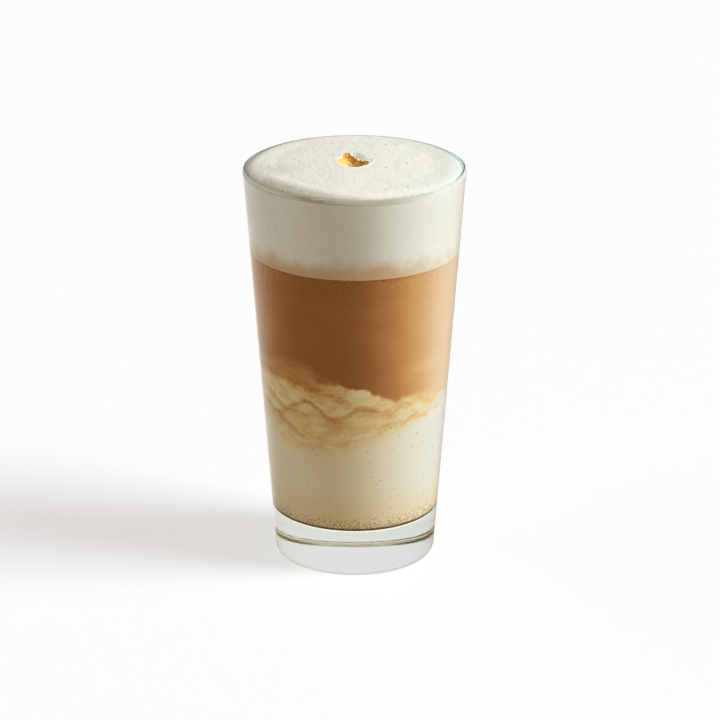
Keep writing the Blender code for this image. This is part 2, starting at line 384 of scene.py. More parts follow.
class Term:
    """A number in a node graph that adds, multiplies and so on as numbers do."""

    def __init__(self, graph, socket):
        self.graph = graph
        self.socket = socket

    def __add__(self, other):
        return self.graph.math("ADD", self, other)

    def __sub__(self, other):
        return self.graph.math("SUBTRACT", self, other)

    def __rsub__(self, other):
        return self.graph.math("SUBTRACT", other, self)

    def __mul__(self, other):
        return self.graph.math("MULTIPLY", self, other)

    def __truediv__(self, other):
        return self.graph.math("DIVIDE", self, other)

    def __neg__(self):
        return self.graph.math("MULTIPLY", self, -1)

    __radd__ = __add__
    __rmul__ = __mul__


class Graph:
    """Builds a node tree from formulas."""

    def __init__(self, tree):
        self.tree = tree

    def node(self, kind, **settings):
        made = self.tree.nodes.new(kind)
        for name, value in settings.items():
            setattr(made, name, value)
        return made

    def feed(self, socket, value):
        if isinstance(value, Term):
            self.tree.links.new(value.socket, socket)
        elif isinstance(value, bpy.types.NodeSocket):
            self.tree.links.new(value, socket)
        elif isinstance(value, tuple) and len(value) == 3 and len(socket.default_value) == 4:
            socket.default_value = (*value, 1.0)
        else:
            socket.default_value = value

    def math(self, operation, *values):
        made = self.node("ShaderNodeMath", operation=operation)
        for socket, value in zip(made.inputs, values):
            self.feed(socket, value)
        return Term(self, made.outputs[0])

    def absolute(self, value):
        return self.math("ABSOLUTE", value)

    def step(self, value, low, high):
        """0 up to low, 1 from high, smooth between them. It falls where low is above high."""
        made = self.node("ShaderNodeMapRange", interpolation_type="SMOOTHSTEP")
        self.feed(made.inputs["Value"], value)
        self.feed(made.inputs["From Min"], low)
        self.feed(made.inputs["From Max"], high)
        return Term(self, made.outputs[0])

    def bell(self, value, width):
        """1 where value is 0, falling away over width to both sides."""
        return self.math("EXPONENT", -self.math("POWER", value / width, 2.0))

    def vector(self, x, y, z):
        made = self.node("ShaderNodeCombineXYZ")
        for socket, value in zip(made.inputs, (x, y, z)):
            self.feed(socket, value)
        return made.outputs[0]

    def noise(self, vector, scale, detail=2.0, roughness=0.5, distortion=0.0):
        made = self.node("ShaderNodeTexNoise")
        names = ("Vector", "Scale", "Detail", "Roughness", "Distortion")
        for name, value in zip(names, (vector, scale, detail, roughness, distortion)):
            self.feed(made.inputs[name], value)
        return Term(self, made.outputs[0])

    def cells(self, vector, scale, dimensions="3D"):
        """Distance to the nearest of a scatter of points, and a random number for each point."""
        made = self.node("ShaderNodeTexVoronoi", voronoi_dimensions=dimensions)
        self.feed(made.inputs["Vector"], vector)
        self.feed(made.inputs["Scale"], scale)
        split = self.node("ShaderNodeSeparateColor")
        self.feed(split.inputs[0], made.outputs["Color"])
        return Term(self, made.outputs["Distance"]), Term(self, split.outputs[0])

    def dots(self, vector, scale, size, kept, dimensions="2D"):
        """1 in scattered dots. size is where a dot ends and where it is full, and kept is from
        which random number on dots start to show and show in full."""
        distance, lot = self.cells(vector, scale, dimensions)
        return self.step(distance, *size) * self.step(lot, *kept)

    def curve(self, value, points):
        """A value that follows these points, both from 0 to 1."""
        made = self.node("ShaderNodeFloatCurve")
        self.feed(made.inputs["Value"], value)
        line = made.mapping.curves[0]
        while len(line.points) < len(points):
            line.points.new(0.5, 0.5)
        for point, place in zip(line.points, sorted(points)):
            point.location = place
        made.mapping.update()
        return Term(self, made.outputs[0])

    def ramp(self, value, stops):
        """A colour that goes from stop to stop, each a (place, colour)."""
        made = self.node("ShaderNodeValToRGB")
        self.feed(made.inputs[0], value)
        band = made.color_ramp.elements
        while len(band) < len(stops):
            band.new(0.5)
        for element, (place, colour) in zip(band, stops):
            element.position = place
        for element, (place, colour) in zip(band, stops):
            element.color = (*colour, 1.0)
        return made.outputs[0]

    def mix(self, share, first, second):
        made = self.node("ShaderNodeMix", data_type="RGBA")
        self.feed(made.inputs["Factor"], share)
        self.feed(made.inputs[6], first)
        self.feed(made.inputs[7], second)
        return made.outputs[2]

    def choose(self, ray_kind, surface, other):
        """surface, but other for rays of this kind."""
        made = self.node("ShaderNodeMixShader")
        for socket, value in zip(made.inputs, (ray_kind, surface, other)):
            self.feed(socket, value)
        return made.outputs[0]


class Spot:
    """The shaded point, in millimetres on its object, and where it lies round the glass."""

    def __init__(self, graph):
        split = graph.node("ShaderNodeSeparateXYZ")
        graph.feed(split.inputs[0], graph.node("ShaderNodeTexCoord").outputs["Object"])
        self.x, self.y, self.z = [Term(graph, output) * (1 / MM) for output in split.outputs]
        self.place = graph.vector(self.x, self.y, self.z)
        self.radius = graph.math("SQRT", self.x * self.x + self.y * self.y)
        # 0 in front, growing to the right
        self.angle = graph.math("ARCTAN2", self.x, -self.y)
        # From -1 at the left to 1 at the right
        self.side = graph.math("SINE", self.angle)


def new_material(name, roughness, gloss=0.5):
    """A material with a Principled shader, and the graph that feeds it."""
    material = bpy.data.materials.new(name)
    material.use_nodes = True
    shader = material.node_tree.nodes["Principled BSDF"]
    shader.inputs["Roughness"].default_value = roughness
    shader.inputs["Specular IOR Level"].default_value = gloss
    return material, Graph(material.node_tree), shader


# How milk and coffee mix

class Stir:
    """The noises that stir the drink at a point, and lines drawn round the glass."""

    def __init__(self, graph, at):
        self.graph = graph
        flow = graph.vector(at.x, at.y, at.z * 1.7)
        slanted = graph.vector(at.x, at.y, at.z * 0.8 + at.x * 0.5)
        self.broad = graph.noise(flow, 0.09, 2.0) - 0.5
        self.fine = graph.noise(flow, 0.42, 3.0, 0.6) - 0.5
        self.mottle = graph.noise(flow, 0.20, 4.0, 0.62)
        self.puffs = graph.absolute(graph.noise(at.place, 0.26, 2.0, 0.5) * 2.0 - 1.0)
        self.frill = graph.noise(at.place, 0.80, 2.0, 0.55) - 0.5
        self.fibres = graph.noise(slanted, 0.9, 3.0, 0.6) - 0.5
        drift = graph.noise(at.place, 0.30, 2.0) - 0.5
        turn = at.angle / (2 * pi) + 0.5 + drift * 0.014
        self.turn = graph.math("WRAP", turn, 0.0, 1.0)
        along = graph.vector(at.x * 0.17, at.y * 0.17, (at.z - self.height(FLOW)) * 0.60)
        self.wisps = graph.noise(along, 1.0, 4.0, 0.62, 0.5) - 0.5

    def share(self, points):
        """A value from 0 to 1 that follows these (degrees, value) points round the glass."""
        drawn = [(degrees / 360 + 0.5, value) for degrees, value in points]
        return self.graph.curve(self.turn, drawn)

    def height(self, points):
        """A height that follows these (degrees, height) points round the glass."""
        drawn = [(degrees, (high - MARBLING_LOW) / MARBLING_SPAN) for degrees, high in points]
        return self.share(drawn) * MARBLING_SPAN + MARBLING_LOW


def coffee_share(graph, at, stir, right):
    """In the brown layer: paler towards both edges, which is painted light on the lit right side
    and at the far left, with a paler billow low at the right.
    """
    billow = graph.bell(at.z - 81.5 + stir.fine * 7.0, 3.4) * graph.step(at.side, 0.38, 0.72)
    fold = graph.bell(at.z - 78.0 + stir.fine * 5.0, 0.9) * graph.step(at.side, 0.55, 0.75)
    low_rise = graph.step(at.z, 96.0, 84.0)
    # Painted light: less coffee towards the lit right and at the far left edge, so the brown pales
    # there.
    share = 0.99 + low_rise * 0.05 - right * 0.62 - billow * 0.12 + fold * 0.05
    share = share - graph.step(at.side, -0.58, -1.0) * 0.34
    share = share + stir.broad * 0.14 + (graph.noise(at.place, 0.05, 2.0) - 0.5) * 0.12
    return share + (graph.noise(at.place, 1.9, 2.0, 0.7) - 0.5) * 0.19


def vein_share(graph, at, stir, heights, strengths, hang):
    """In a vein: a fine line, and a haze that hangs below it."""
    line_height = stir.height(heights) + stir.fine * 2.6 + (stir.puffs - 0.3) * 1.6
    drop = line_height + stir.wisps * 1.8 + stir.fibres * 0.4 - at.z
    line = graph.bell(drop - 0.6, 1.0) * 0.20
    haze = graph.step(drop, -1.3, 0.9) * graph.math("EXPONENT", drop * (-1.0 / hang))
    haze = graph.math("MINIMUM", haze, 1.0)
    patchy = 0.50 + graph.step(stir.mottle, 0.25, 0.65) * 0.70
    return (line + haze * 0.29) * patchy * stir.share(strengths)


def cream_share(graph, at, stir, depth, left, right):
    """In the marbling: cream in the young clouds and tan below them, with wisps and veins."""
    old = graph.step(depth, 2.0, 11.0)
    share = 0.16 + (stir.mottle - 0.5) * 0.34 - right * 0.04
    share = share + graph.step(depth, 7.0, 0.5) * right * 0.12
    share = share - graph.step(at.side, 0.78, 0.96) * graph.step(depth, 2.0, 6.0) * 0.12
    share = share + stir.wisps * (0.32 + old * 0.26) * (1.0 - right * 0.35)
    above_veins = graph.step(stir.height(VEINS[0][0]) + stir.fine * 2.0 - at.z, 0.9, -0.9)
    share = share + left * above_veins * 0.54
    for vein in VEINS:
        share = share + vein_share(graph, at, stir, *vein)
    settled = stir.height(SETTLED) + stir.fine * 5.0 + stir.broad * 4.0 + stir.wisps * 9.0
    share = share * graph.step(at.z, settled - 3.4, settled + 3.4)
    return graph.math("MAXIMUM", share, 0.0)


def brew_share(graph, at):
    """How much coffee is in the milk, from 0 to 1."""
    stir = Stir(graph, at)
    right = graph.step(at.side, -0.05, 0.95)
    left = stir.share(LEFT_KIND)
    ruffle = stir.fine * 1.9 + (0.16 - stir.puffs) * 2.8 + stir.frill * 0.6
    depth = stir.height(FRONT) + ruffle * stir.share(RUFFLED) + stir.broad * 0.8 - at.z
    edge = left * 1.3 + 0.52 + right * 1.2
    clouds = graph.step(depth, -edge, edge * 1.4)
    haze = graph.step(depth, -5.0, 0.0) * (left * 0.18 + 0.02)
    coffee = coffee_share(graph, at, stir, right) - haze
    cream = cream_share(graph, at, stir, depth, left, right)
    return coffee * (1.0 - clouds) + cream * clouds


# The drink's colour where it meets the wall

def brew_colour(graph, at):
    """Milk, marbling and coffee, with a dark edge where the coffee ends, painted light towards the
    lit right, and warm painted bounce light low down.
    """
    share = brew_share(graph, at) + graph.bell(at.z - (COFFEE_TOP - 0.2), 0.35) * 0.14
    colour = graph.ramp(share, BREW)
    # Painted light: the coffee pales and the milk whitens towards the lit right side.
    paler = graph.step(at.side, 0.62, 0.99) * graph.step(share, 0.15, 0.35)
    colour = graph.mix(paler * 0.55, colour, LIT_SIDE_COFFEE)
    whiter = graph.step(at.side, 0.1, 0.95) * graph.step(share, 0.20, 0.02)
    colour = graph.mix(whiter * 0.8, colour, LIT_MILK)
    # Painted light: the milk warms towards the floor, for warm light bounced up from below.
    return graph.mix(graph.step(at.z, 38.0, 20.0) * 0.62, colour, WARM_BOUNCE_LIGHT)


def with_bubbles(graph, at, colour):
    """Pin bubbles under the foam, most of them dark, fainter on the right."""
    distance, lot = graph.cells(at.place, 1.65)
    bubble = graph.step(distance, 0.46, 0.22)
    bubble = bubble * graph.step(at.z, COFFEE_TOP - 13.3, COFFEE_TOP - 0.8)
    bubble = bubble * graph.step(at.z, COFFEE_TOP, COFFEE_TOP - 0.2)
    dark = bubble * graph.step(lot, 0.50, 0.44) * (0.72 - graph.step(at.side, 0.20, 0.75) * 0.48)
    colour = graph.mix(dark, colour, DARK_BUBBLE)
    light = bubble * graph.step(lot, 0.84, 0.90) * 0.16
    return graph.mix(light, colour, LIGHT_BUBBLE)


def with_grit(graph, at, colour):
    """Fine dark grains, dense on the floor and sparse above it."""
    unrolled = graph.vector(at.angle * 28.0, at.z, 0.0)
    near_floor = graph.step(at.z, 25.5, 18.0)
    kept = (0.992 - near_floor * 0.80, 0.996 - near_floor * 0.74)
    coarse = graph.dots(unrolled, 1.2, (0.32, 0.18), kept)
    kept = (0.995 - near_floor * 0.60, 0.998 - near_floor * 0.52)
    fine = graph.dots(unrolled, 1.9, (0.40, 0.22), kept)
    grit = graph.math("MAXIMUM", coarse, fine) * graph.step(at.z, 72.0, 62.0)
    return graph.mix(grit * 0.82, colour, GRIT)


def with_foot(graph, at, colour):
    """The rounded foot of the milk: a dark line, and below it a painted highlight for light from
    the glass under it.
    """
    colour = graph.mix(graph.bell(at.z - (FLOOR + 1.75), 0.48) * 0.95, colour, FOOT_LINE)
    # Painted highlight along the bottom of the foot.
    return graph.mix(graph.step(at.z, FLOOR + 1.25, FLOOR + 1.10), colour, FOOT_HIGHLIGHT)


def foot_glow(graph, at):
    """Painted light: the milk's foot glows as if with light from the table, which the clear foot
    gathers under the milk.
    """
    lit = graph.mix(graph.step(at.z, FLOOR + 0.48, FLOOR + 0.40), FOOT_GLOW, UNDERSIDE_GLOW)
    return graph.mix(graph.step(at.z, FLOOR + 1.25, FLOOR + 1.10), NO_GLOW, lit)


def foam_edge(graph, at):
    """Where the foam meets the wall, in millimetres."""
    dip = graph.bell(at.angle - FOAM_DIP_BEARING, FOAM_DIP_WIDTH) * (FOAM_EDGE_DIP / MM)
    return FOAM_EDGE / MM - dip


def foam_side_colour(graph, at):
    """The foam at the wall, and the coffee that has crept up into its foot in wisps."""
    streaks = graph.noise(graph.vector(at.x, at.y, at.z * 0.6), 0.19, 1.0, 0.4) - 0.5
    puffed = graph.noise(at.place, 0.62, 3.0, 0.6) - 0.5
    clumps = graph.noise(at.place, 0.11, 2.0) - 0.5
    reach = graph.step(graph.math("COSINE", at.angle), 0.35, 0.85) * 1.9
    reach = reach - graph.step(at.side, 0.55, 0.98) * 1.2
    lively = 1.0 - graph.step(at.side, -0.62, -0.92) * 0.45
    top = COFFEE_TOP + 2.4 + reach + (streaks * 5.5 + clumps * 6.5) * lively + puffed * 1.8
    stained = graph.step(at.z, top + 5.2, top - 4.0)
    tone = graph.noise(at.place, 0.35, 3.0, 0.6)
    foam = graph.mix(graph.step(tone, 0.30, 0.80), FOAM_SIDE, FOAM_SHADE)
    # Painted shade on the front of the foam's side, where the light falls weakest.
    foam = graph.mix(graph.bell(at.side - 0.02, 0.30) * 0.34, foam, FOAM_FRONT_SHADE)
    strength = 0.78 + tone * 0.6 - graph.step(at.side, 0.25, 0.95) * 0.56
    stain = graph.mix(graph.step(at.side, 0.25, 0.80), STAIN, STAIN_RIGHT)
    foam = graph.mix(stained * strength, foam, stain)
    wisp = graph.noise(graph.vector(at.x, at.y, at.z * 0.8), 0.25, 3.0, 0.55)
    wisp = graph.step(wisp, 0.60, 0.74) * graph.step(at.z, COFFEE_TOP + 14.7, COFFEE_TOP + 7.7)
    foam = graph.mix(wisp * 0.26, foam, STAIN)
    foam = graph.mix(graph.bell(at.z - (COFFEE_TOP + 0.25), 0.25) * 0.14, foam, CREAM_LINE)
    pinhole = graph.dots(at.place, 0.8, (0.26, 0.12), (0.90, 0.93), "3D")
    foam = graph.mix(pinhole * 0.35, foam, PINHOLE)

    # Behind the lip the foam lies in its own shade, least on the right.
    shaded = graph.step(foam_edge(graph, at) - at.z, 0.40, 0.0) * graph.step(at.side, 0.80, 0.30)
    return graph.mix(shaded * 0.70 * graph.step(at.side, -1.0, -0.15), foam, GROOVE_SHADE)


def drink_colour(graph, at):
    """The colour of the drink's side, from the milk at the floor up to the foam."""
    colour = with_bubbles(graph, at, brew_colour(graph, at))
    colour = with_foot(graph, at, with_grit(graph, at, colour))
    above = graph.step(at.z, COFFEE_TOP - 0.05, COFFEE_TOP + 0.05)
    return graph.mix(above, colour, foam_side_colour(graph, at))


def drink_material(name, glow=None):
    """Wet against the glass, so without gloss of its own. glow makes a colour that it shines."""
    material, graph, shader = new_material(name, roughness=0.5, gloss=0.0)
    at = Spot(graph)
    graph.feed(shader.inputs["Base Color"], drink_colour(graph, at))
    if glow:
        graph.feed(shader.inputs["Emission Color"], glow(graph, at))
        shader.inputs["Emission Strength"].default_value = 1.0
    return material


# The glass

def lip_tint(graph, at):
    """Green in the lip's inner edge at the sides, and painted shade in grey along its front."""
    across = at.radius - LIP_MIDDLE
    beside = graph.absolute(at.side)
    inner = graph.step(at.z, RIM - 1.5, RIM - 0.8) * graph.step(across, 0.10, -0.50)
    tint = graph.mix(inner * graph.step(beside, 0.44, 0.86), CLEAR, LIP_GREEN)
    # Painted shade: grey lines along the lip's outer edge and crest at the front.
    outer = graph.bell(at.z - (RIM - 1.1), 0.28) * graph.step(across, 0.40, 0.80)
    fading = graph.step(at.side, 0.95, 0.10) * (1.0 - graph.step(at.side, -0.60, -0.20) * 0.45)
    tint = graph.mix(outer * fading, tint, LIP_SHADE_GREY)
    at_side = graph.step(beside, 0.55, 0.88)
    crest = graph.step(at.z, RIM - 0.7, RIM - 0.3)
    crest = crest * graph.math("MAXIMUM", graph.step(at.y, -2.0, -14.0), at_side)
    return graph.mix(crest * 0.38, tint, graph.mix(at_side, LIP_SHADE_GREY, LIP_GREEN))


def glass_material():
    """Clear glass, faintly green in depth. Light on its way to the drink goes straight through."""
    material, graph, shader = new_material("clear_glass", roughness=0.0)
    graph.feed(shader.inputs["Base Color"], lip_tint(graph, Spot(graph)))
    graph.feed(shader.inputs["Specular Tint"], GLASS_MIRROR)
    shader.inputs["IOR"].default_value = 1.50
    shader.inputs["Transmission Weight"].default_value = 1.0
    path = graph.node("ShaderNodeLightPath")
    straight = graph.node("ShaderNodeBsdfTransparent")
    graph.feed(straight.inputs[0], GLASS_STRAIGHT)
    surface = shader.outputs[0]
    for kind in ("Is Shadow Ray", "Is Diffuse Ray"):
        surface = graph.choose(path.outputs[kind], surface, straight.outputs[0])
    depth = graph.node("ShaderNodeVolumeAbsorption")
    graph.feed(depth.inputs["Color"], GLASS_DEPTH)
    depth.inputs["Density"].default_value = GLASS_DENSITY
    out = material.node_tree.nodes["Material Output"]
    graph.feed(out.inputs["Surface"], surface)
    graph.feed(out.inputs["Volume"], depth.outputs[0])
    return material


def floor_height(radius):
    """The glass's floor, dished a little."""
    return FLOOR_THICKNESS + FLOOR_DISH * (radius / INNER_FOOT_RADIUS) ** 2


def floor_corner(shrink, steps):
    """(radius, height) round the floor's corner, its bend smaller by shrink."""
    bend = FLOOR_CORNER - shrink
    corner_reach = inner_radius(FLOOR_THICKNESS) - FLOOR_CORNER
    middle_height = floor_height(corner_reach) + FLOOR_CORNER
    middle_radius = inner_radius(middle_height) - FLOOR_CORNER / cos(INNER_SLOPE)
    turn = pi / 2 - INNER_SLOPE
    angles = [turn * step / steps for step in range(steps + 1)]
    return [(middle_radius + bend * sin(a), middle_height - bend * cos(a)) for a in angles]


def lip_arc():
    """(radius, height) over the lip from inside, a little more than half a circle."""
    middle = (outer_radius(LIP_HEIGHT) + inner_radius(LIP_HEIGHT)) / 2
    angles = [pi * (1.04 - 1.08 * step / LIP_STEPS) for step in range(LIP_STEPS + 1)]
    return [(middle + LIP_RADIUS * cos(a), LIP_HEIGHT + LIP_RADIUS * sin(a)) for a in angles]


def foot_arc():
    """(radius, height) round the outer edge of the foot, downwards."""
    middle = outer_radius(FOOT_FILLET) - FOOT_FILLET / cos(OUTER_SLOPE)
    turn = pi / 2 - OUTER_SLOPE
    angles = [OUTER_SLOPE + turn * step / FOOT_STEPS for step in range(FOOT_STEPS + 1)]
    return [(middle + FOOT_FILLET * cos(a), FOOT_FILLET * (1 - sin(a))) for a in angles]


def blend_into_lip(wall_radius, lip_end):
    """(radius, height) up the top of a wall, which eases from its cone to the lip's end."""
    low = GLASS_HEIGHT - LIP_BLEND
    end_radius, end_height = lip_end
    gap = end_radius - wall_radius(end_height)
    stretch = []
    for share in np.linspace(0, 1, BLEND_STEPS + 1)[:-1]:
        height = low + (end_height - low) * share
        stretch.append((wall_radius(height) + gap * smoothstep(share, 0, 1), height))
    return stretch


def straight_wall(wall_radius, start, end):
    """(radius, height) along a cone, without its ends."""
    return [(wall_radius(z), z) for z in np.linspace(start, end, WALL_STEPS + 1)[1:-1]]


def punt():
    """(radius, height) from the ring that the glass stands on into the hollow under it."""
    outline = [(PUNT_RADIUS + PUNT_RING, 0.0)]
    for share in np.linspace(0, 1, PUNT_STEPS + 1):
        radius = PUNT_RADIUS + PUNT_EDGE_OUT - (PUNT_EDGE_OUT + PUNT_EDGE_IN) * share
        outline.append((radius, PUNT_EDGE_HEIGHT * smoothstep(share, 0, 1)))
    for share in (0.8, 0.5, 0.1):
        crown = (PUNT_MIDDLE_HEIGHT - PUNT_EDGE_HEIGHT) * share**2
        outline.append((PUNT_RADIUS * share, PUNT_MIDDLE_HEIGHT - crown))
    return outline


def glass_profile():
    """(radius, height) from the middle of the floor, over the lip and down to the punt."""
    corner = floor_corner(0.0, CORNER_STEPS)
    floor_radii = np.linspace(0.0012, corner[0][0] * 0.96, FLOOR_STEPS + 1)
    floor = [(r, floor_height(r)) for r in floor_radii]
    low = GLASS_HEIGHT - LIP_BLEND
    lip = lip_arc()
    foot = foot_arc()
    inside = straight_wall(inner_radius, corner[-1][1], low) + blend_into_lip(inner_radius, lip[0])
    outside = blend_into_lip(outer_radius, lip[-1])[::-1]
    outside += straight_wall(outer_radius, low, foot[0][1])
    return floor + corner + inside + lip + outside + foot + punt()


def make_glass():
    rows = [ring(GLASS_ANGLES, radius, height) for radius, height in glass_profile()]
    top_middle = (0.0, 0.0, FLOOR_THICKNESS)
    low_middle = (0.0, 0.0, PUNT_MIDDLE_HEIGHT)
    points, faces = closed_rows(rows, top_middle, low_middle)
    faces = [face[::-1] for face in faces]
    add_piece("tumbler", points, faces, glass_material(), "glass")


# The drink's layers. Each face's height is given at an angle, and at a share of the way out.

def marbling_foot(angle, reach=1.0):
    wave = MARBLING_TILT * np.sin(angle) + MARBLING_BILLOW * np.sin(4 * angle + 0.5)
    return MARBLING_FOOT + wave * reach**2


def coffee_foot(angle, reach=1.0):
    wave = -COFFEE_TILT * np.sin(angle) - COFFEE_SWELL * np.sin(3 * angle)
    wave = wave + COFFEE_BILLOW * np.sin(9 * angle - 1.1)
    return COFFEE_FOOT + wave * reach**2


def stain_foot(angle, reach=1.0):
    return STAIN_FOOT + 0 * angle


def stain_top(angle, reach=1.0):
    wave = np.sin(5 * angle + 0.7) + 0.5 * np.sin(11 * angle + 2.0)
    return STAIN_TOP + STAIN_WAVE * wave * reach**2


def wall_ring(face):
    height = face(LAYER_ANGLES)
    return ring(LAYER_ANGLES, inner_radius(height) + INTO_GLASS, height)


def face_rings(face, angles):
    """Rings over the face between two layers, from near the axis outwards."""
    rings = []
    for share in FACE_SHARES:
        height = face(angles, share)
        rings.append(ring(angles, inner_radius(height) * share, height))
    return rings


def middle_of(face):
    return 0.0, 0.0, float(np.mean(face(LAYER_ANGLES, 0.0)))


def make_layer(name, node, low_face, high_face):
    rows = face_rings(low_face, LAYER_ANGLES) + [wall_ring(low_face), wall_ring(high_face)]
    rows += face_rings(high_face, LAYER_ANGLES)[::-1]
    points, faces = closed_rows(rows, middle_of(low_face), middle_of(high_face))
    add_piece(name, points, faces, drink_material(node), node)


def make_milk():
    """The lowest layer, which fills the corner of the glass's floor."""
    floor = [(r, floor_height(r) - INTO_GLASS) for r in (0.006, 0.012, 0.018)]
    outline = floor + floor_corner(-INTO_GLASS, LAYER_CORNER_STEPS)
    rows = [ring(LAYER_ANGLES, radius, height) for radius, height in outline]
    rows += [wall_ring(marbling_foot)] + face_rings(marbling_foot, LAYER_ANGLES)[::-1]
    low_middle = (0.0, 0.0, FLOOR_THICKNESS - INTO_GLASS)
    points, faces = closed_rows(rows, low_middle, middle_of(marbling_foot))
    add_piece("plain_milk", points, faces, drink_material("milk", foot_glow), "milk")


# The foam's shape

def foam_wall(height):
    """How far out the foam reaches: just into the glass, and in with the lip's bulge."""
    bulge = (LIP_RADIUS * 2 - (OUTER_RIM_RADIUS - INNER_RIM_RADIUS)) / 2
    near_lip = smoothstep(height, GLASS_HEIGHT - LIP_BLEND, LIP_HEIGHT)
    return inner_radius(height) + INTO_GLASS - bulge * near_lip


def edge_height(bearing):
    """Where the foam meets the wall: lower in front."""
    away = np.mod(bearing - FOAM_DIP_BEARING + pi, 2 * pi) - pi
    return FOAM_EDGE - FOAM_EDGE_DIP * np.exp(-((away / FOAM_DIP_WIDTH) ** 2))


def crater_reach(x, y):
    """How far out in the crater a point is, 1 at its edge, and how far back."""
    along = (y - CRATER_Y) / CRATER_HALF_DEPTH
    return np.hypot((x - CRATER_X) / CRATER_HALF_WIDTH, along), along


def crater(x, y):
    """Height in the crater: a ramp that falls towards its steep front lip, softer at the right."""
    spread, along = crater_reach(x, y)
    soft = smoothstep(x / MM, 0.5, 4.5) * smoothstep(along, -0.75, -0.1)
    inside = 1 - smoothstep(spread, 0.76 - 0.42 * soft, 1.0 + 0.12 * soft)
    back = np.interp(x / MM, *zip(*CRATER_BACK)) * MM
    ramp = smoothstep(back - y, -0.35 * CRATER_RUN, CRATER_RUN)
    ramp = ramp * (1 - 0.68 * smoothstep(x / MM, -0.6, 3.8))
    lip = np.exp(-(((spread - 1.08) / 0.07) ** 2)) * (1 - smoothstep(along, -0.6, 0.2))
    return CRATER_LIP * lip - CRATER_DROP * inside * ramp


def froth_share(x, y, drop):
    """1 in the golden froth, 0 outside. drop is how far the crater falls at each point."""
    line = np.interp(x / MM, *zip(*FROTH_LINE))
    level_y = (y - FROTH_SLANT * drop) / MM
    spread, along = crater_reach(x, y)
    return smoothstep(line - level_y, -0.3, 1.1) * (1 - smoothstep(spread, 0.84, 0.98))


def fractal(points, scale, octaves):
    """Fractal noise at each point, from about -1 to 1."""
    return np.array([noise.fractal(Vector(p) * scale, 0.9, 2.1, octaves) for p in points])


def foam_relief(points):
    """How far the foam's skin stands above its even dome, in metres."""
    broad = fractal(points, 55.0, 2) * 0.00022
    wrinkles = fractal(points * [1.0, 0.6, 1.0] + [5.0, 0, 0], 190.0, 3) * 0.00011
    grain = fractal(points * [1.0, 0.4, 1.0] + [9.0, 0, 0], 800.0, 2) * 0.00006
    return broad + wrinkles + grain


def froth_relief(x, y, flat):
    """How far the lumpy froth stands above the crater's floor, in metres."""
    share = froth_share(x, y, -crater(x, y))
    near = np.nonzero(share > 0)[0]
    bumps = np.zeros_like(x)
    bumps[near] = 1 - 2 * np.abs(fractal(flat[near] + [3.0, 0, 0], 420.0, 2))
    return share * (FROTH_RISE + FROTH_BUMPS * bumps)


def foam_grid():
    """A square grid bent into a disc, so that its cells stay even: how far out each point is,
    from 0 to 1, and its turn from +X towards the back."""
    half = FOAM_GRID // 2
    column, row = np.meshgrid(np.arange(-half, half + 1), np.arange(-half, half + 1))
    column, row = column.ravel().astype(float), row.ravel().astype(float)
    wide = np.abs(column) > np.abs(row)
    level = np.where(wide, column, row)
    other = np.where(wide, row, column)
    ratio = np.divide(other, level, out=np.zeros_like(other), where=level != 0)
    turn = np.where(wide, ratio * pi / 4, pi / 2 - ratio * pi / 4)
    return np.abs(level) / half, turn + np.where(level < 0, pi, 0.0)


def foam_top_points():
    """The foam's top: a dome, rolled down to the wall, with its relief and its crater."""
    share, turn = foam_grid()
    dome_share = 1 - FOAM_ROLL_SHARE
    edge_level = edge_height(turn + pi / 2)
    inner_rim = foam_wall(FOAM_EDGE) - FOAM_ROLL
    inward = np.minimum(share / dome_share, 1)
    in_roll = np.sin(np.clip((share - dome_share) / FOAM_ROLL_SHARE, 0, 1) * pi / 2)
    radius = inner_rim * inward * (0.62 + 0.38 * inward)
    radius = radius + (foam_wall(edge_level) - inner_rim) * in_roll
    fall = (1 - in_roll**3.2) ** 0.68
    height = edge_level + (FOAM_EDGE + FOAM_ROLL_RISE - edge_level) * fall
    height = height + FOAM_DOME_RISE * (1 - np.minimum(radius / inner_rim, 1) ** 2)
    x, y = radius * np.cos(turn), radius * np.sin(turn)
    flat = np.stack([x, y, 0 * x], axis=1)
    calm = 1 - in_roll**8
    height = height + (foam_relief(flat) + crater(x, y) + froth_relief(x, y, flat)) * calm
    return np.stack([x, y, height], axis=1)


def grid_edge():
    """The grid's outermost points, in order round the disc."""
    side = FOAM_GRID + 1
    edge = list(range(side))
    edge += [j * side + FOAM_GRID for j in range(1, side)]
    edge += [FOAM_GRID * side + i for i in range(FOAM_GRID - 1, -1, -1)]
    edge += [j * side for j in range(FOAM_GRID - 1, 0, -1)]
    return edge


def foam_side_rows(bearings):
    """Rings down the wall and in under the foam, a point for each bearing."""
    top = edge_height(bearings)
    low = stain_top(bearings)
    rows = []
    for share in FOAM_SIDE_SHARES:
        level = top + (low - top) * share
        rows.append(ring(bearings, foam_wall(level), level))
    return rows + face_rings(stain_top, bearings)[::-1]


def make_foam():
    """The foam's top, its side, and the face under it, which meets the stained foam."""
    top = foam_top_points()
    side = FOAM_GRID + 1
    starts = [j * side + i for j in range(FOAM_GRID) for i in range(FOAM_GRID)]
    faces = [(start, start + 1, start + side + 1, start + side) for start in starts]
    above = grid_edge()
    count = len(above)
    rows = foam_side_rows(np.arctan2(top[above, 1], top[above, 0]) + pi / 2)
    for number in range(len(rows)):
        first = len(top) + number * count
        below = list(range(first, first + count))
        for i in range(count):
            j = (i + 1) % count
            faces.append((above[j], above[i], below[i], below[j]))
        above = below
    middle = len(top) + len(rows) * count
    faces += [(above[i], middle, above[(i + 1) % count]) for i in range(count)]
    points = np.concatenate([top, *rows, [middle_of(stain_top)]])
    add_piece("white_foam", points.tolist(), faces, foam_material(), "foam")


# The foam's colours

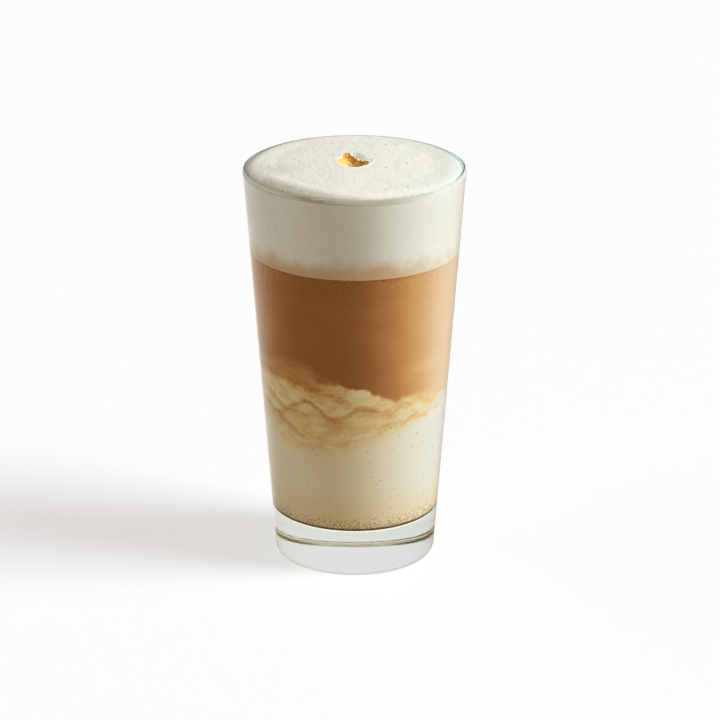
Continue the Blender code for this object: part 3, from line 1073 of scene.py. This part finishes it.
def foam_top_colour(graph, at):
    """White foam with a rosy tint, beige grain, painted shade in a patch at the left and rare
    specks.
    """
    seen_flat = graph.vector(at.x, at.y * 0.42, at.z)
    tint = graph.noise(seen_flat, 0.20, 5.0, 0.66)
    colour = graph.mix(graph.step(tint, 0.36, 0.66), FOAM_TOP, FOAM_TOP_ROSY)
    grain = graph.noise(seen_flat, 1.0, 4.0, 0.75)
    colour = graph.mix(graph.step(grain, 0.42, 0.78) * 0.34, colour, FOAM_GRAIN)
    # Painted shade: a darker patch where the foam slopes away from the light at the left.
    left_shade = graph.bell(at.x + 29.0, 8.0) * graph.bell(at.y + 8.0, 7.0) * (0.30 + grain * 0.4)
    colour = graph.mix(left_shade, colour, FOAM_LEFT_SHADE)
    large_speck = graph.dots(seen_flat, 0.26, (0.10, 0.05), (0.74, 0.96))
    colour = graph.mix(large_speck * 0.9, colour, SPECK)
    small_speck = graph.dots(seen_flat, 0.60, (0.18, 0.09), (0.88, 0.94))
    return graph.mix(small_speck * 0.24, colour, SPECK)


def with_groove(graph, at, colour):
    """Painted shade in the beige groove along the wall, widest and full of bubbles at the front
    left.
    """
    front_left = graph.bell(at.angle + 0.75, 0.62)
    rough = graph.noise(at.place, 0.5, 3.0, 0.6) - 0.5
    reach = at.radius + rough * 2.6
    groove = graph.step(reach, 36.4 - front_left * 6.0, 38.4 - front_left * 2.4)
    groove = groove * graph.step(at.side, 0.72, 0.15) * graph.step(at.side, -1.0, -0.82)
    colour = graph.mix(groove * (0.30 + front_left * 0.34), colour, GROOVE_SHADE)

    # Painted shade, darkest where the foam touches the wall, and painted light along it on the
    # right.
    contact_shade = graph.step(at.radius + rough * 0.5, 37.2, 37.9) * graph.step(at.side, 0.85, 0.30)
    contact_shade = contact_shade * graph.step(at.side, -1.0, -0.20)
    contact_shade = contact_shade * (0.92 - graph.step(at.side, -0.55, -0.15) * 0.30)
    colour = graph.mix(contact_shade, colour, GROOVE_SHADE)
    lit_edge = graph.step(at.radius, 30.0, 37.0) * graph.step(at.side, 0.25, 0.85)
    colour = graph.mix(lit_edge * 0.7, colour, LIT_EDGE)
    bubble = graph.dots(at.place, 0.9, (0.42, 0.18), (0.66, 0.74))
    bubble = bubble * graph.step(reach, 34.2, 37.0) * front_left
    return graph.mix(bubble * 0.6, colour, GROOVE_BUBBLE)


def with_froth(graph, at, colour):
    """The crater, painted lighter in its hollow and with a painted highlight along its front lip,
    and the golden froth in it, pale at its left and dark at its right, partly painted shade.
    """
    below_level = FOAM_LEVEL / MM - at.z
    spread_x = (at.x - CRATER_X / MM) / (CRATER_HALF_WIDTH / MM)
    spread_y = (at.y - CRATER_Y / MM) / (CRATER_HALF_DEPTH / MM)
    spread = graph.math("SQRT", spread_x * spread_x + spread_y * spread_y)
    # Painted highlight along the crater's front lip.
    rim_highlight = graph.bell(spread - 1.07, 0.06) * graph.step(spread_y, -0.35, -0.72)
    colour = graph.mix(rim_highlight * 0.8, colour, CRATER_RIM_HIGHLIGHT)
    # Painted light: the hollow is made paler to lift its shade.
    hollow = graph.step(below_level, 0.2, 1.0) * graph.step(spread, 1.05, 0.85)
    colour = graph.mix(hollow * 0.9, colour, CRATER_PAINTED_LIGHT)

    left_end = FROTH_LINE[0][0]
    width = FROTH_LINE[-1][0] - left_end
    drawn = [((x - left_end) / width, (y - FROTH_LOW) / FROTH_SPAN) for x, y in FROTH_LINE]
    across = (at.x - left_end) / width
    line = graph.curve(across, drawn) * FROTH_SPAN + FROTH_LOW
    ragged = graph.noise(at.place, 0.8, 3.0, 0.6) - 0.5
    level_y = at.y - below_level * FROTH_SLANT
    froth = graph.step(line - level_y + ragged * 2.4, -0.5, 0.6)
    froth = froth * graph.step(spread + ragged * 0.10, 1.02, 0.95)
    lumps = graph.noise(at.place, 0.85, 3.0, 0.6) - 0.5
    # Darker towards the right: partly the froth's own tone and partly painted shade where the
    # crater lies deep.
    depth = lumps * 2.8 + (across - 0.23) * 2.0 + (level_y - 1.0) * 0.070
    gold = graph.mix(graph.step(depth, -0.25, 0.25), GOLD_LIGHT, GOLD)
    gold = graph.mix(graph.step(depth, 0.25, 0.95), gold, GOLD_DARK)
    return graph.mix(froth, colour, gold)


def foam_material():
    material, graph, shader = new_material("milk_foam", roughness=0.7, gloss=0.1)
    at = Spot(graph)
    top_colour = with_groove(graph, at, foam_top_colour(graph, at))
    top_colour = with_froth(graph, at, top_colour)
    over_edge = graph.step(at.z - foam_edge(graph, at), -0.05, 0.15)
    colour = graph.mix(over_edge, drink_colour(graph, at), top_colour)
    graph.feed(shader.inputs["Base Color"], colour)
    return material


# The stage: floor, lights and camera

def floor_material():
    """Light that has bounced off the drink or come through the glass meets the floor in plainer
    tones, for the lit table that is out of the picture."""
    material, graph, shader = new_material("pale_floor", roughness=0.9, gloss=0.0)
    graph.feed(shader.inputs["Base Color"], FLOOR_COLOUR)
    graph.feed(shader.inputs["Emission Color"], CLEAR)
    shader.inputs["Emission Strength"].default_value = FLOOR_GLOW
    at = Spot(graph)
    backwards = at.y / graph.math("MAXIMUM", -at.x, 1.0)
    back_left = graph.step(backwards, -0.10, 0.90) * graph.step(at.x, 0.0, -20.0)
    near = graph.step(at.radius, 620.0, 380.0)
    mirrored = graph.mix(back_left * near, FLOOR_MIRRORED, BACK_LEFT_MIRRORED)
    path = graph.node("ShaderNodeLightPath")
    surface = shader.outputs[0]
    for ray_kind, shader_kind, colour in (
        ("Is Diffuse Ray", "ShaderNodeBsdfDiffuse", FLOOR_BOUNCE),
        ("Is Glossy Ray", "ShaderNodeEmission", mirrored),
        ("Is Transmission Ray", "ShaderNodeEmission", UNDER_GLASS),
    ):
        other = graph.node(shader_kind)
        graph.feed(other.inputs[0], colour)
        surface = graph.choose(path.outputs[ray_kind], surface, other.outputs[0])
    graph.feed(material.node_tree.nodes["Material Output"].inputs["Surface"], surface)
    return material


def make_floor():
    turns = ((-1, -1), (1, -1), (1, 1), (-1, 1))
    corners = [(x * FLOOR_HALF, y * FLOOR_HALF, -FLOOR_GAP) for x, y in turns]
    mesh = bpy.data.meshes.new("floor")
    mesh.from_pydata(corners, [], [(0, 1, 2, 3)])
    mesh.materials.append(floor_material())
    floor = bpy.data.objects.new("floor", mesh)
    bpy.context.scene.collection.objects.link(floor)


def add_lamp(name, azimuth, elevation, spread, level, colour):
    """A soft far lamp. level is how bright it makes a white surface that faces it."""
    lamp = bpy.data.lights.new(name, "SUN")
    lamp.angle = radians(spread)
    lamp.energy = level * pi
    lamp.color = colour
    holder = bpy.data.objects.new(name, lamp)
    bpy.context.scene.collection.objects.link(holder)
    holder.visible_glossy = False
    holder.visible_transmission = False
    a, e = radians(azimuth), radians(elevation)
    away = Vector((sin(a) * cos(e), -cos(a) * cos(e), sin(e)))
    holder.rotation_euler = away.to_track_quat("Z", "Y").to_euler()


def make_world():
    """An even studio, as bright as given to each kind of ray."""
    world = bpy.data.worlds.new("studio")
    bpy.context.scene.world = world
    world.use_nodes = True
    graph = Graph(world.node_tree)
    path = graph.node("ShaderNodeLightPath")
    light = WORLD_LIGHT
    for ray_kind, level in WORLD_SEEN:
        light = graph.mix(path.outputs[ray_kind], light, (level, level, level))
    background = world.node_tree.nodes["Background"]
    graph.feed(background.inputs["Color"], light)
    background.inputs["Strength"].default_value = 1.0


def make_camera():
    camera = bpy.data.cameras.new("camera")
    camera.lens = CAMERA_LENS
    camera.sensor_width = 36.0
    camera.clip_start = 0.1
    camera.clip_end = 30.0
    holder = bpy.data.objects.new("camera", camera)
    bpy.context.scene.collection.objects.link(holder)
    holder.location = CAMERA_PLACE
    holder.rotation_euler = (pi / 2 - CAMERA_PITCH, 0.0, 0.0)
    bpy.context.scene.camera = holder


make_camera()
make_glass()
make_milk()
make_layer("swirled_milk", "marbled_milk", marbling_foot, coffee_foot)
make_layer("brown_coffee", "coffee", coffee_foot, stain_foot)
make_layer("tan_foam", "stained_foam", stain_foot, stain_top)
make_foam()
make_floor()
for lamp in LAMPS:
    add_lamp(*lamp)
make_world()

bpy.context.scene.cycles.caustics_reflective = False
bpy.context.scene.cycles.caustics_refractive = False
view = bpy.context.scene.view_settings
view.view_transform = "Standard"
view.look = "None"
view.exposure = 0.0
view.gamma = 1.0
